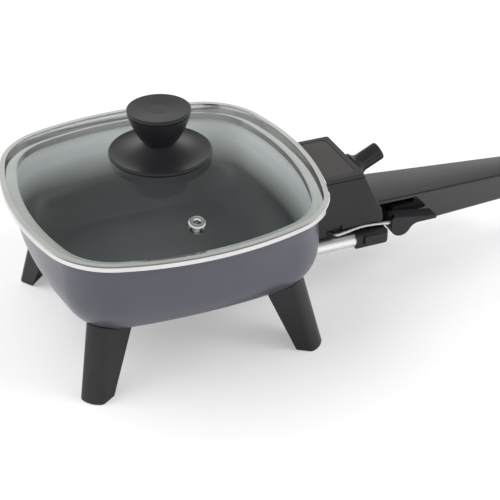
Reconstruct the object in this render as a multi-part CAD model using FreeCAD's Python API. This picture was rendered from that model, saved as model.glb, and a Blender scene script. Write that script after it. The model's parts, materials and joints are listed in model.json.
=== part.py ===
import FreeCAD, Part
import math
import os

os.makedirs("parts", exist_ok=True)

Vec = FreeCAD.Vector
X_AXIS = Vec(1, 0, 0)
Y_AXIS = Vec(0, 1, 0)
Z_AXIS = Vec(0, 0, 1)

# All sizes are in millimetres. The skillet is drawn with the pan's centre above x = 0, y = 0,
# the handle towards +X and the feet on z = 0. Each part is moved to the middle of the
# whole length when it is saved.

# Lid outline: a square whose sides bow outwards and whose corners are round
LID_HALF = 89.0
LID_CORNER_R = 43.9
LID_SIDE_R = 174.9
LID_OVERHANG = 5.6

# Pan: nearly upright walls above the knee, a quarter ellipse below it
PAN_RIM_Z = 88.8
PAN_KNEE_Z = 72.0
PAN_BASE_Z = 35.4
PAN_DRAFT = 2.1
PAN_FLAT_INSET = 39.0
PAN_WALL = 3.0
PAN_FLOOR = 4.0
PAN_BASE_CORNER_R = 21.0
PAN_BASE_SIDE_R = 420.0
PAN_RIM_HALF = LID_HALF - LID_OVERHANG
PAN_FLAT_HALF = LID_HALF - PAN_FLAT_INSET
PAN_KNEE_HALF = PAN_RIM_HALF - PAN_DRAFT

# Glass lid and its steel band
LID_SEAT_GAP = 0.1
BAND_SHEET = 0.5
BAND_HEIGHT = 3.7
BAND_ROLL = 0.6
BAND_LIP = 3.4
LID_LOCATOR_GAP = 0.8
LID_LOCATOR_DEPTH = 3.4
GLASS_THICK = 3.4
GLASS_EDGE_GAP = 0.1
DOME_TOP_Z = 107.6
DOME_RIM_INSET = 3.6
DOME_TOP_HALF = 10.5
LID_BASE_Z = PAN_RIM_Z + LID_SEAT_GAP
BAND_TOP_Z = LID_BASE_Z + BAND_HEIGHT
GLASS_LOW_Z = LID_BASE_Z + BAND_SHEET
GLASS_EDGE_Z = BAND_TOP_Z - BAND_SHEET

# Steam vent in the glass, in front of the knob
VENT_X = -3.0
VENT_Y = -65.0
VENT_HOLE_R = 1.75
VENT_TUBE_R = 2.4
VENT_FLANGE_R = 4.7
VENT_FLANGE = 0.9
VENT_FIT = 0.1

# Lid knob
KNOB_HEIGHT = 28.3
KNOB_TOP_R = 18.0
KNOB_NECK_R = 9.3
KNOB_NECK_RISE = 7.9
KNOB_NECK_FLARE = 6.2
KNOB_NECK_FLARE_DROP = 4.0
KNOB_BASE_R = 29.5
KNOB_BASE_EDGE = 2.7
KNOB_BASE_LIP = 2.5
KNOB_BOWL_IN = 2.6
KNOB_BOWL_SHARE = 0.594
KNOB_CAP_THICK = 2.2
KNOB_CAP_DISH = 0.8
KNOB_CAP_FLAT_R = 6.0
KNOB_CAP_GROOVE = 0.35
KNOB_SOCKET_R = 13.0
KNOB_SOCKET_DEPTH = 4.0
KNOB_SPIGOT = 3.0
KNOB_SPIGOT_WALL = 1.6
KNOB_SPIGOT_FIT = 0.15
KNOB_TOP_Z = DOME_TOP_Z + KNOB_HEIGHT
KNOB_NECK_Z = DOME_TOP_Z + KNOB_NECK_RISE
LID_SCREW_R = 2.5
LID_SCREW_HEAD_R = 5.2
LID_SCREW_HEAD = 3.0
LID_SCREW_LENGTH = 17.0
LID_HOLE_FIT = 1.0
WASHER_R = 9.5
WASHER_THICK = 1.2
GASKET_THICK = 1.0

# Share of the way from a corner to its rounding's chord at which the rounding's middle lies
ROUND_MIDDLE = 0.586

# Legs: radial planks under the pan's corners
LEG_FOOT_OUT_REACH = 9.9
LEG_FOOT_OUT = LID_HALF + LEG_FOOT_OUT_REACH
LEG_FOOT_IN_REACH = -1.4
LEG_FOOT_IN = LID_HALF + LEG_FOOT_IN_REACH
LEG_TOP_OUT_REACH = -4.8
LEG_TOP_OUT = LID_HALF + LEG_TOP_OUT_REACH
LEG_TOP_IN_REACH = -23.7
LEG_TOP_IN = LID_HALF + LEG_TOP_IN_REACH
LEG_LOFT_Z = 50.0
LEG_OUT_HALF = 7.2
LEG_OUT_BULGE = 2.0
LEG_FOOT_IN_HALF = 9.0
LEG_TOP_IN_HALF = 14.8
LEG_OUT_ROUND = 1.4
LEG_FOOT_ROUND = 0.8
LEG_PAN_GAP = 0.35
LEG_BOSS_AT_REACH = -12.0
LEG_BOSS_AT = LID_HALF + LEG_BOSS_AT_REACH
LEG_BOSS_R = 4.5
LEG_BOSS_Z = 31.0
LEG_BOSS_FIT = 0.2
LEG_SCREW_R = 1.75
LEG_SCREW_HEAD_R = 3.2
LEG_SCREW_HEAD = 2.4
LEG_SCREW_Z = 24.0
LEG_SCREW_LENGTH = 13.0
LEG_POCKET_R = 3.6

# Heating element, terminals and probe boss under the pan
ELEMENT_R = 3.2
ELEMENT_Z = 34.0
ELEMENT_LOOP_R = 36.0
ELEMENT_BEND_R = 10.0
ELEMENT_END_REACH = -25.0
ELEMENT_END_X = LID_HALF + ELEMENT_END_REACH
TERMINAL_Y = 8.2
TERMINAL_PIN_R = 2.0
TERMINAL_PIN_REACH = 14.0
TERMINAL_PIN_END_X = LID_HALF + TERMINAL_PIN_REACH
BEAD_R = 2.9
BEAD_LENGTH = 9.0
GUARD_REACH = -19.0
GUARD_X = LID_HALF + GUARD_REACH
GUARD_THICK = 1.5
GUARD_HALF = 14.0
GUARD_LOW = 5.1
GUARD_HIGH = 4.4
GUARD_FIT = 0.05
PROBE_BOSS_R = 4.6
PROBE_BOSS_START_REACH = -43.0
PROBE_BOSS_START_X = LID_HALF + PROBE_BOSS_START_REACH
PROBE_BOSS_END_REACH = -13.0
PROBE_BOSS_END_X = LID_HALF + PROBE_BOSS_END_REACH
PROBE_BORE_START_REACH = -41.0
PROBE_BORE_START_X = LID_HALF + PROBE_BORE_START_REACH

# Guard arms: steel tubes with flattened ends screwed under the pan, and moulded end caps
ARM_Y = 24.0
ARM_Z = 36.6
ARM_R = 4.4
ARM_WALL = 0.9
ARM_REACH = 29.0
ARM_END_X = LID_HALF + ARM_REACH
ARM_ROUND_REACH = -7.0
ARM_ROUND_X = LID_HALF + ARM_ROUND_REACH
ARM_FLAT_REACH = -19.0
ARM_FLAT_X = LID_HALF + ARM_FLAT_REACH
ARM_TIP_REACH = -35.0
ARM_TIP_X = LID_HALF + ARM_TIP_REACH
ARM_FLAT_HALF = 6.0
ARM_FLAT_THICK = 2.4
ARM_SCREW_REACH = -28.0
ARM_SCREW_X = LID_HALF + ARM_SCREW_REACH
ARM_BOSS_R = 6.5
ARM_SCREW_R = 1.9
ARM_SCREW_HEAD_R = 3.4
ARM_SCREW_HEAD = 2.0
ARM_SCREW_GRIP = 4.2
CAP_START_REACH = 23.6
CAP_START_X = LID_HALF + CAP_START_REACH
CAP_END_REACH = 45.0
CAP_END_X = LID_HALF + CAP_END_REACH
CAP_HALF = 5.0
CAP_ROUND = 2.2
CAP_FIT = 0.05
CAP_PAD_START_REACH = 28.0
CAP_PAD_START_X = LID_HALF + CAP_PAD_START_REACH
CAP_PAD_END_REACH = 43.0
CAP_PAD_END_X = LID_HALF + CAP_PAD_END_REACH
CAP_PAD_PROUD = 1.5
CAP_PAD_HEIGHT = 5.6
CAP_PAD_LIFT = 1.2
CAP_PAD_ROUND = 0.7

# Control box
BOX_HALF = 25.0
BOX_TOP_Z = 82.0
BOX_BASE_Z = 46.4
BOX_TOP_REACH = 28.0
BOX_TOP_END_X = LID_HALF + BOX_TOP_REACH
BOX_KNEE_REACH = 41.6
BOX_KNEE_X = LID_HALF + BOX_KNEE_REACH
BOX_KNEE_Z = 54.0
BOX_REACH = 43.0
BOX_END_X = LID_HALF + BOX_REACH
BOX_WALL = 2.2
BOX_PAN_GAP = 1.0
BOX_EDGE_ROUND = 1.5
COVER_HEIGHT = 3.4
COVER_GROOVE = 0.5
COVER_RIM = 3.4
PANEL_START_REACH = -1.0
PANEL_START_X = LID_HALF + PANEL_START_REACH
PANEL_DEPTH = 1.0
PANEL_THICK = 0.8
PANEL_CORNER_R = 3.0
PANEL_FIT = 0.15
SKIRT_BASE_Z = 43.5
SKIRT_END_REACH = 15.0
SKIRT_END_X = LID_HALF + SKIRT_END_REACH
SKIRT_START_REACH = -5.0
SKIRT_START_X = LID_HALF + SKIRT_START_REACH
RECESS_START_REACH = 4.5
RECESS_START_X = LID_HALF + RECESS_START_REACH
RECESS_TOP_Z = 49.2
RECESS_DEPTH = 1.4
POST_FIRST_REACH = 5.0
POST_LAST_REACH = 22.5
POST_XS = (LID_HALF + POST_FIRST_REACH, LID_HALF + POST_LAST_REACH)
POST_Y = 19.0
POST_R = 3.0
BOX_SCREW_R = 1.4
BOX_SCREW_HEAD_R = 2.6
BOX_SCREW_HEAD = 1.6
BOX_SCREW_LENGTH = 14.0

# Thermostat and its knob, square to the sloping end of the box
DIAL_Z = 71.6
DIAL_GAP = 0.5
DIAL_SKIRT_R = 9.0
DIAL_SKIRT = 2.2
DIAL_CONE = 3.8
DIAL_GRIP_R = 5.6
DIAL_LENGTH = 20.0
DIAL_RIBS = 14
DIAL_RIB_CUT_R = 0.6
DIAL_SHAFT_R = 2.9
DIAL_SHAFT_OUT = 14.0
DIAL_SHAFT_IN = 9.5
DIAL_BUSH_R = 4.6
DIAL_BUSH_HOLE_FIT = 0.1
DIAL_RUN_FIT = 0.05
THERMOSTAT_IN = 10.0
THERMOSTAT_DEPTH = 14.0
THERMOSTAT_HALF = 11.0
THERMOSTAT_HIGH = 8.0

# Terminal block under the box, contact sleeves and temperature probe
BLOCK_START_REACH = -9.0
BLOCK_START_X = LID_HALF + BLOCK_START_REACH
BLOCK_END_REACH = 35.0
BLOCK_END_X = LID_HALF + BLOCK_END_REACH
BLOCK_HALF = 14.5
BLOCK_BASE_Z = 28.5
BLOCK_ROUND = 2.0
SLEEVE_R = 3.2
SLEEVE_START_REACH = -7.0
SLEEVE_START_X = LID_HALF + SLEEVE_START_REACH
SLEEVE_END_REACH = 15.0
SLEEVE_END_X = LID_HALF + SLEEVE_END_REACH
SLEEVE_FIT = 0.05
PROBE_R = 2.5
PROBE_TIP_REACH = -39.0
PROBE_TIP_X = LID_HALF + PROBE_TIP_REACH
PROBE_END_REACH = 11.0
PROBE_END_X = LID_HALF + PROBE_END_REACH
PROBE_FIT = 0.1

# Cord inlet on the rear of the box
CORD_REACH = 17.0
CORD_X = LID_HALF + CORD_REACH
CORD_Z = 61.0
CORD_BORE_R = 3.3
CORD_BUSH_R = 5.4
CORD_FLANGE_R = 7.2
CORD_FLANGE = 1.8
CORD_STUB = 9.0
CORD_BUSH_FIT = 0.1

# Handle: a top cover and a lower shell that taper towards the grip's end
HANDLE_ROOT = -7.0
HANDLE_START_X = BOX_END_X + HANDLE_ROOT
HANDLE_REACH = 113.0
HANDLE_END_X = BOX_END_X + HANDLE_REACH
HANDLE_REF_REACH = 3.0
HANDLE_REF_X = BOX_END_X + HANDLE_REF_REACH
HANDLE_REF_HALF = 17.9
HANDLE_TAPER = 0.0675
HANDLE_REF_TOP_Z = 55.5
HANDLE_TOP_FALL = 0.0449
HANDLE_BASE_Z = 31.5
HANDLE_CROWN = 0.6
HANDLE_RIDGE_R = 1.2
HANDLE_BASE_ROUND = 2.5
HANDLE_SIDE_DRAFT = 1.0
HANDLE_END_ROUND = 7.0
HANDLE_TOP_DEPTH = 2.9
HANDLE_TOP_THICK = 2.2
HANDLE_WALL = 2.2
HANDLE_HOLLOW_REACH = 29.0
HANDLE_HOLLOW_START_X = BOX_END_X + HANDLE_HOLLOW_REACH
SLOT_REACH = 25.0
SLOT_END_X = BOX_END_X + SLOT_REACH
SLOT_FLOOR_Z = 48.2
NECK_HALF = 8.0
NECK_TOP_Z = 44.4
NECK_BASE_Z = 39.0
NECK_REACH = 9.0
NECK_END_X = BOX_END_X + NECK_REACH
HANDLE_SCREW_FIRST = 40.0
HANDLE_SCREW_LAST = 94.0
HANDLE_SCREW_XS = (BOX_END_X + HANDLE_SCREW_FIRST, BOX_END_X + HANDLE_SCREW_LAST)
HANDLE_POST_R = 3.4
HANDLE_SCREW_R = 1.5
HANDLE_SCREW_HEAD_R = 2.8
HANDLE_SCREW_HEAD = 1.8
NECK_SCREW_Z = 50.8
NECK_SCREW_R = 1.2
NECK_SCREW_HEAD_R = 2.1
NECK_SCREW_LENGTH = 11.0

# Release lever beside the handle, its pin, spring and push rod
LEVER_FRONT_Y = -27.0
LEVER_BACK_Y = -17.8
LEVER_PIVOT_REACH = 11.8
LEVER_PIVOT_X = BOX_END_X + LEVER_PIVOT_REACH
LEVER_PIVOT_Z = 38.4
LEVER_HUB_BACK = -0.4
LEVER_HUB_X = LEVER_PIVOT_X + LEVER_HUB_BACK
LEVER_HUB_Z = 40.2
LEVER_HUB_R = 6.9
LEVER_TOP_Z = 47.2
LEVER_LENGTH = 24.2
LEVER_TIP_X = LEVER_PIVOT_X + LEVER_LENGTH
LEVER_TIP_TOP_Z = 42.6
LEVER_TIP_BASE_Z = 40.2
LEVER_EDGE_ROUND = 0.7
LEVER_PIN_R = 1.6
LEVER_PIN_FIT = 0.05
LEVER_PIN_FRONT_Y = -25.2
LEVER_PIN_BACK_Y = -9.0
LEVER_SPRING_R = 2.7
LEVER_SPRING_WIRE_WIDE = 0.6
LEVER_SPRING_WIRE_THICK = 0.5
LEVER_SPRING_PITCH = 0.75
LEVER_SPRING_TURNS = 3
LEVER_POCKET_R = 3.6
LEVER_POCKET_DEPTH = 2.8
ROD_R = 1.2
ROD_Y = -24.3
ROD_LEVER_BACK = -4.6
ROD_LEVER_X = LEVER_PIVOT_X + ROD_LEVER_BACK
ROD_LEVER_Z = 42.7
ROD_END_GAP = 0.35
ROD_OVER_CAP = 3.2
ROD_SLOT_HALF = 1.55
ROD_SLOT_FLOOR = 1.6
ROD_TIP_Y = -25.4
ROD_TIP_Z = 43.2
ROD_TIP_REACH = 10.6
ROD_TIP_X = LID_HALF + ROD_TIP_REACH
ROD_TAIL_Y = -19.5

# The whole length runs from the lid's far edge to the end of the handle
MIDDLE_X = (HANDLE_END_X - LID_HALF) / 2.0


def save(name, shape):
    """Move a part to the middle of the whole length and write it."""
    moved = shape.copy()
    moved.translate(Vec(-MIDDLE_X, 0, 0))
    moved.exportStep("parts/" + name + ".step")


def block(x0, x1, y0, y1, z0, z1):
    return Part.makeBox(x1 - x0, y1 - y0, z1 - z0, Vec(x0, y0, z0))


def rod(radius, start, end):
    """Round bar from one point to another."""
    run = end.sub(start)
    return Part.makeCylinder(radius, run.Length, start, run)


def revolve(points, axis_point, axis):
    """Turn a closed outline of points about an axis."""
    wire = Part.makePolygon(points + [points[0]])
    return Part.Face(wire).revolve(axis_point, axis, 360)


def side_prism(points, y0, y1):
    """Outline in the XZ plane, given as (x, z), pulled from y0 to y1."""
    corners = [Vec(x, y0, z) for x, z in points]
    wire = Part.makePolygon(corners + [corners[0]])
    return Part.Face(wire).extrude(Vec(0, y1 - y0, 0))


def fillet_edges(shape, radius, chosen):
    """Round the edges whose middle point the test accepts."""
    edges = []
    for edge in shape.Edges:
        middle = edge.valueAt((edge.FirstParameter + edge.LastParameter) / 2.0)
        if chosen(edge, middle):
            edges.append(edge)
    return shape.makeFillet(radius, edges)


def is_straight_along(edge, axis):
    ends = edge.Vertexes
    if len(ends) != 2:
        return False
    run = ends[1].Point.sub(ends[0].Point)
    if run.Length < 1e-6:
        return False
    return abs(run.dot(axis)) / run.Length > 0.9999 and abs(edge.Length - run.Length) < 1e-6


# Rounded squares

def rounded_square(half, corner_r, side_r, z):
    """Closed outline of four bowed sides and four round corners, all tangent."""
    bow = side_r - half
    reach = side_r - corner_r
    centre = (math.sqrt(2.0 * reach * reach - bow * bow) - bow) / 2.0
    beta = math.atan2(centre, centre + bow)
    edges = []
    for quarter in range(4):
        turn = quarter * math.pi / 2.0

        def at(cx, cy, r, angle):
            x = cx + r * math.cos(angle)
            y = cy + r * math.sin(angle)
            return Vec(
                x * math.cos(turn) - y * math.sin(turn),
                x * math.sin(turn) + y * math.cos(turn),
                z,
            )

        side = [at(-bow, 0.0, side_r, a) for a in (-beta, 0.0, beta)]
        far = math.pi / 2.0 - beta
        corner = [at(centre, centre, corner_r, a) for a in (beta, math.pi / 4.0, far)]
        edges.append(Part.Arc(*side).toShape())
        edges.append(Part.Arc(*corner).toShape())
    return Part.Wire(edges)


def lid_outline(inset, z):
    """The lid's outline drawn in by an even inset."""
    return rounded_square(LID_HALF - inset, LID_CORNER_R - inset, LID_SIDE_R - inset, z)


def lid_plate(inset, z0, z1):
    return Part.Face(lid_outline(inset, z0)).extrude(Vec(0, 0, z1 - z0))


# Pan

def pan_outline(half, z, grow):
    """Pan section at a height: corners get tighter and sides flatter towards the base."""
    share = (PAN_RIM_Z - z) / (PAN_RIM_Z - PAN_BASE_Z)
    share = min(max(share, 0.0), 1.0)
    rim_corner = LID_CORNER_R - LID_OVERHANG
    rim_side = LID_SIDE_R - LID_OVERHANG
    corner_r = rim_corner + (PAN_BASE_CORNER_R - rim_corner) * share
    side_r = 1.0 / (1.0 / rim_side + (1.0 / PAN_BASE_SIDE_R - 1.0 / rim_side) * share)
    return rounded_square(half + grow, corner_r + grow, side_r + grow, z)


def pan_form(grow, base_z, rim_extra):
    """Solid with the pan's outside form, grown by an even amount and set on a base height."""
    wires = []
    for z in (PAN_RIM_Z, (PAN_RIM_Z + PAN_KNEE_Z) / 2.0):
        half = PAN_KNEE_HALF + PAN_DRAFT * (z - PAN_KNEE_Z) / (PAN_RIM_Z - PAN_KNEE_Z)
        wires.append(pan_outline(half, z, grow))
    for degrees in (0.0, 18.0, 36.0, 54.0, 72.0, 90.0):
        angle = math.radians(degrees)
        z = PAN_KNEE_Z - (PAN_KNEE_Z - base_z) * math.sin(angle)
        half = PAN_FLAT_HALF + (PAN_KNEE_HALF - PAN_FLAT_HALF) * math.cos(angle)
        if grow < 0.0:
            half = PAN_FLAT_HALF - grow + (PAN_KNEE_HALF - PAN_FLAT_HALF + grow) * math.cos(angle)
        wires.append(pan_outline(half, z, grow))
    form = Part.makeLoft(wires, True, False)
    if rim_extra > 0.0:
        top = Part.Face(pan_outline(PAN_RIM_HALF, PAN_RIM_Z, grow))
        form = form.fuse(top.extrude(Vec(0, 0, rim_extra)))
    return form


def diagonal(quarter):
    """Unit vector towards a corner of the pan: 0 is rear right, then anticlockwise."""
    angle = math.radians(45.0 + 90.0 * quarter)
    return Vec(math.cos(angle), math.sin(angle), 0)


def pan():
    body = pan_form(0.0, PAN_BASE_Z, 0.0)
    for quarter in range(4):
        foot = diagonal(quarter) * LEG_BOSS_AT + Vec(0, 0, LEG_BOSS_Z)
        body = body.fuse(Part.makeCylinder(LEG_BOSS_R, PAN_KNEE_Z - LEG_BOSS_Z - 15.0, foot))
    for side in (-1, 1):
        seat = Vec(ARM_SCREW_X, side * ARM_Y, ARM_Z - ARM_R + ARM_FLAT_THICK)
        body = body.fuse(Part.makeCylinder(ARM_BOSS_R, PAN_FLOOR + 2.0, seat))
    probe_start = Vec(PROBE_BOSS_START_X, 0, ELEMENT_Z)
    body = body.fuse(rod(PROBE_BOSS_R, probe_start, Vec(PROBE_BOSS_END_X, 0, ELEMENT_Z)))
    body = body.cut(pan_form(-PAN_WALL, PAN_BASE_Z + PAN_FLOOR, 2.0))
    bore_start = Vec(PROBE_BORE_START_X, 0, ELEMENT_Z)
    body = body.cut(rod(PROBE_R + PROBE_FIT, bore_start, Vec(PROBE_BOSS_END_X + 1.0, 0, ELEMENT_Z)))
    body = body.cut(element_form())
    for screw in leg_screw_list() + arm_screw_list():
        body = body.cut(screw)
    return body


# Heating element and terminals

def element_form():
    """Sheathed rod bent to a horseshoe, its two ends side by side towards the handle."""
    bend_y = TERMINAL_Y + ELEMENT_BEND_R
    bend_x = math.sqrt((ELEMENT_LOOP_R + ELEMENT_BEND_R) ** 2 - bend_y ** 2)
    share = ELEMENT_LOOP_R / (ELEMENT_LOOP_R + ELEMENT_BEND_R)
    touch = Vec(bend_x * share, bend_y * share, ELEMENT_Z)
    angle = math.atan2(bend_y, bend_x)
    half_turn = (math.pi / 2.0 - angle) / 2.0
    mid_angle = -math.pi / 2.0 - half_turn
    bend_mid = Vec(
        bend_x + ELEMENT_BEND_R * math.cos(mid_angle),
        bend_y + ELEMENT_BEND_R * math.sin(mid_angle),
        ELEMENT_Z,
    )
    start = Vec(ELEMENT_END_X, TERMINAL_Y, ELEMENT_Z)
    lead = Vec(bend_x, TERMINAL_Y, ELEMENT_Z)
    back = Vec(-ELEMENT_LOOP_R, 0, ELEMENT_Z)

    def mirrored(point):
        return Vec(point.x, -point.y, point.z)

    path = Part.Wire([
        Part.LineSegment(start, lead).toShape(),
        Part.Arc(lead, bend_mid, touch).toShape(),
        Part.Arc(touch, back, mirrored(touch)).toShape(),
        Part.Arc(mirrored(touch), mirrored(bend_mid), mirrored(lead)).toShape(),
        Part.LineSegment(mirrored(lead), mirrored(start)).toShape(),
    ])
    ring = Part.Wire(Part.makeCircle(ELEMENT_R, start, X_AXIS))
    return path.makePipeShell([ring], True, False)


def terminal_pins():
    pins = []
    for side in (-1, 1):
        y = side * TERMINAL_Y
        end = Vec(TERMINAL_PIN_END_X - TERMINAL_PIN_R, y, ELEMENT_Z)
        pin = rod(TERMINAL_PIN_R, Vec(ELEMENT_END_X, y, ELEMENT_Z), end)
        pins.append(pin.fuse(Part.makeSphere(TERMINAL_PIN_R, end)).removeSplitter())
    return Part.makeCompound(pins)


def insulator_beads():
    beads = []
    for side in (-1, 1):
        start = Vec(ELEMENT_END_X, side * TERMINAL_Y, ELEMENT_Z)
        end = Vec(ELEMENT_END_X + BEAD_LENGTH, side * TERMINAL_Y, ELEMENT_Z)
        beads.append(rod(BEAD_R, start, end).cut(rod(TERMINAL_PIN_R, start, end)))
    return Part.makeCompound(beads)


def terminal_guard():
    """Steel plate pushed over the probe boss, which holds the two beads."""
    x1 = GUARD_X + GUARD_THICK
    plate = block(GUARD_X, x1, -GUARD_HALF, GUARD_HALF, ELEMENT_Z - GUARD_LOW, ELEMENT_Z + GUARD_HIGH)
    hole_start = Vec(GUARD_X - 1.0, 0, ELEMENT_Z)
    hole_end = Vec(x1 + 1.0, 0, ELEMENT_Z)
    plate = plate.cut(rod(PROBE_BOSS_R + GUARD_FIT, hole_start, hole_end))
    for side in (-1, 1):
        offset = Vec(0, side * TERMINAL_Y, 0)
        plate = plate.cut(rod(BEAD_R + GUARD_FIT, hole_start + offset, hole_end + offset))
    return plate


# Guard arms

def guard_arm(side):
    y = side * ARM_Y
    axis_start = Vec(ARM_ROUND_X, y, ARM_Z)
    tube = rod(ARM_R, axis_start, Vec(ARM_END_X, y, ARM_Z))
    flat_z = ARM_Z - ARM_R + ARM_FLAT_THICK / 2.0
    round_ring = Part.Wire(Part.makeCircle(ARM_R, axis_start, X_AXIS))
    oval = Part.Ellipse(Vec(0, 0, 0), ARM_FLAT_HALF, ARM_FLAT_THICK / 2.0).toShape()
    oval.rotate(Vec(0, 0, 0), Y_AXIS, 90)
    oval.rotate(Vec(0, 0, 0), X_AXIS, 90)
    oval.translate(Vec(ARM_FLAT_X, y, flat_z))
    neck = Part.makeLoft([Part.Wire(oval), round_ring], True, True)
    plate = block(
        ARM_TIP_X + ARM_FLAT_HALF, ARM_FLAT_X,
        y - ARM_FLAT_HALF, y + ARM_FLAT_HALF,
        flat_z - ARM_FLAT_THICK / 2.0, flat_z + ARM_FLAT_THICK / 2.0,
    )
    tip = Vec(ARM_TIP_X + ARM_FLAT_HALF, y, flat_z - ARM_FLAT_THICK / 2.0)
    arm = tube.fuse(neck).fuse(plate).fuse(Part.makeCylinder(ARM_FLAT_HALF, ARM_FLAT_THICK, tip))
    bore = rod(ARM_R - ARM_WALL, Vec(ARM_ROUND_X + 2.0, y, ARM_Z), Vec(ARM_END_X + 1.0, y, ARM_Z))
    arm = arm.cut(bore)
    for screw in arm_screw_list():
        arm = arm.cut(screw)
    return arm


def arm_screw_list():
    screws = []
    for side in (-1, 1):
        under = ARM_Z - ARM_R
        centre = Vec(ARM_SCREW_X, side * ARM_Y, under)
        shank = Part.makeCylinder(ARM_SCREW_R, ARM_FLAT_THICK + ARM_SCREW_GRIP, centre)
        head = Part.makeCylinder(ARM_SCREW_HEAD_R, ARM_SCREW_HEAD, centre - Vec(0, 0, ARM_SCREW_HEAD))
        screws.append(shank.fuse(head).removeSplitter())
    return screws


def arm_cap(side):
    """Moulded end cap: a soft-edged block over the tube's end with a raised finger pad."""
    y = side * ARM_Y
    cap = block(CAP_START_X, CAP_END_X, y - CAP_HALF, y + CAP_HALF, ARM_Z - CAP_HALF, ARM_Z + CAP_HALF)
    cap = fillet_edges(cap, CAP_ROUND, lambda e, m: m.x > CAP_START_X + 0.1)
    pad_base = ARM_Z - CAP_PAD_HEIGHT / 2.0 + CAP_PAD_LIFT
    pad_y0 = y + side * (CAP_HALF - 1.0)
    pad_y1 = y + side * (CAP_HALF + CAP_PAD_PROUD)
    pad = block(
        CAP_PAD_START_X, CAP_PAD_END_X,
        min(pad_y0, pad_y1), max(pad_y0, pad_y1),
        pad_base, pad_base + CAP_PAD_HEIGHT,
    )
    pad = fillet_edges(pad, CAP_PAD_ROUND, lambda e, m: abs(m.y - pad_y1) < 0.05)
    cap = cap.fuse(pad)
    socket_start = Vec(CAP_START_X - 1.0, y, ARM_Z)
    socket = rod(ARM_R + CAP_FIT, socket_start, Vec(ARM_END_X + CAP_FIT, y, ARM_Z))
    return cap.cut(socket)


# Legs

def leg(quarter):
    """Tapered plank from the foot to the pan's curved corner, along +X before it is turned."""
    def section(x_in, x_out, half_in, z):
        corner = Vec(x_out - LEG_OUT_BULGE, LEG_OUT_HALF, z)
        inner = Vec(x_in, half_in, z)
        side = corner + (inner - corner).normalize() * LEG_OUT_ROUND
        face_y = LEG_OUT_HALF - LEG_OUT_ROUND
        face = Vec(x_out - LEG_OUT_BULGE * (face_y / LEG_OUT_HALF) ** 2, face_y, z)
        soft = corner + ((side + face) * 0.5 - corner) * ROUND_MIDDLE

        def flip(point):
            return Vec(point.x, -point.y, point.z)

        return Part.Wire([
            Part.LineSegment(flip(inner), flip(side)).toShape(),
            Part.Arc(flip(side), flip(soft), flip(face)).toShape(),
            Part.Arc(flip(face), Vec(x_out, 0, z), face).toShape(),
            Part.Arc(face, soft, side).toShape(),
            Part.LineSegment(side, inner).toShape(),
            Part.LineSegment(inner, flip(inner)).toShape(),
        ])

    foot = section(LEG_FOOT_IN, LEG_FOOT_OUT, LEG_FOOT_IN_HALF, 0.0)
    top = section(LEG_TOP_IN, LEG_TOP_OUT, LEG_TOP_IN_HALF, LEG_LOFT_Z)
    plank = Part.makeLoft([foot, top], True, True)
    plank = fillet_edges(plank, LEG_FOOT_ROUND, lambda e, m: m.z < 0.01)
    boss = Part.makeCylinder(LEG_BOSS_R + LEG_BOSS_FIT, LEG_LOFT_Z, Vec(LEG_BOSS_AT, 0, LEG_BOSS_Z))
    shank = Part.makeCylinder(LEG_SCREW_R + LEG_BOSS_FIT, LEG_LOFT_Z, Vec(LEG_BOSS_AT, 0, LEG_SCREW_Z))
    pocket = Part.makeCylinder(LEG_POCKET_R, LEG_SCREW_Z - 8.0, Vec(LEG_BOSS_AT, 0, 8.0))
    plank = plank.cut(boss).cut(shank).cut(pocket)
    plank.rotate(Vec(0, 0, 0), Z_AXIS, 45.0 + 90.0 * quarter)
    return plank.cut(pan_form(LEG_PAN_GAP, PAN_BASE_Z - LEG_PAN_GAP, 0.0))


def leg_screw_list():
    screws = []
    for quarter in range(4):
        centre = diagonal(quarter) * LEG_BOSS_AT + Vec(0, 0, LEG_SCREW_Z)
        shank = Part.makeCylinder(LEG_SCREW_R, LEG_SCREW_LENGTH, centre)
        head = Part.makeCylinder(LEG_SCREW_HEAD_R, LEG_SCREW_HEAD, centre - Vec(0, 0, LEG_SCREW_HEAD))
        screws.append(shank.fuse(head).removeSplitter())
    return screws


# Lid

def dome_radius():
    """Radius of the dome's outside along the middle of the lid."""
    rim_half = LID_HALF - DOME_RIM_INSET
    rise = DOME_TOP_Z - GLASS_EDGE_Z
    return (rim_half * rim_half + rise * rise) / (2.0 * rise)


def dome_height(distance, depth):
    """Height of the dome at a distance from its middle, measured a depth below its outside."""
    arc_r = dome_radius() - depth
    return DOME_TOP_Z - dome_radius() + math.sqrt(arc_r * arc_r - distance * distance)


def dome_form(rim_half, depth):
    """Domed solid over the lid's outline, rounder in plan towards its top."""
    wires = []
    for share in (1.0, 0.88, 0.72, 0.54, 0.34, DOME_TOP_HALF / rim_half):
        half = rim_half * share
        z = dome_height(half, depth)
        rounding = 1.0 - share * share
        rim_corner = (LID_CORNER_R - LID_HALF + rim_half) / rim_half
        rim_side = (LID_SIDE_R - LID_HALF + rim_half) / rim_half
        corner_r = half * (rim_corner + (0.93 - rim_corner) * rounding)
        side_r = half * (rim_side + (1.08 - rim_side) * rounding)
        wires.append(rounded_square(half, corner_r, side_r, z))
    return Part.makeLoft(wires, True, False)


def vent_tilt():
    """Slope of the dome where the vent sits, in degrees."""
    return math.degrees(math.asin(-VENT_Y / dome_radius()))


def vent_place(shape):
    """Set a shape drawn upright at the origin square to the dome at the vent."""
    shape.rotate(Vec(0, 0, 0), X_AXIS, vent_tilt())
    shape.translate(Vec(VENT_X, VENT_Y, dome_height(VENT_Y, 0.0)))
    return shape


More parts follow.
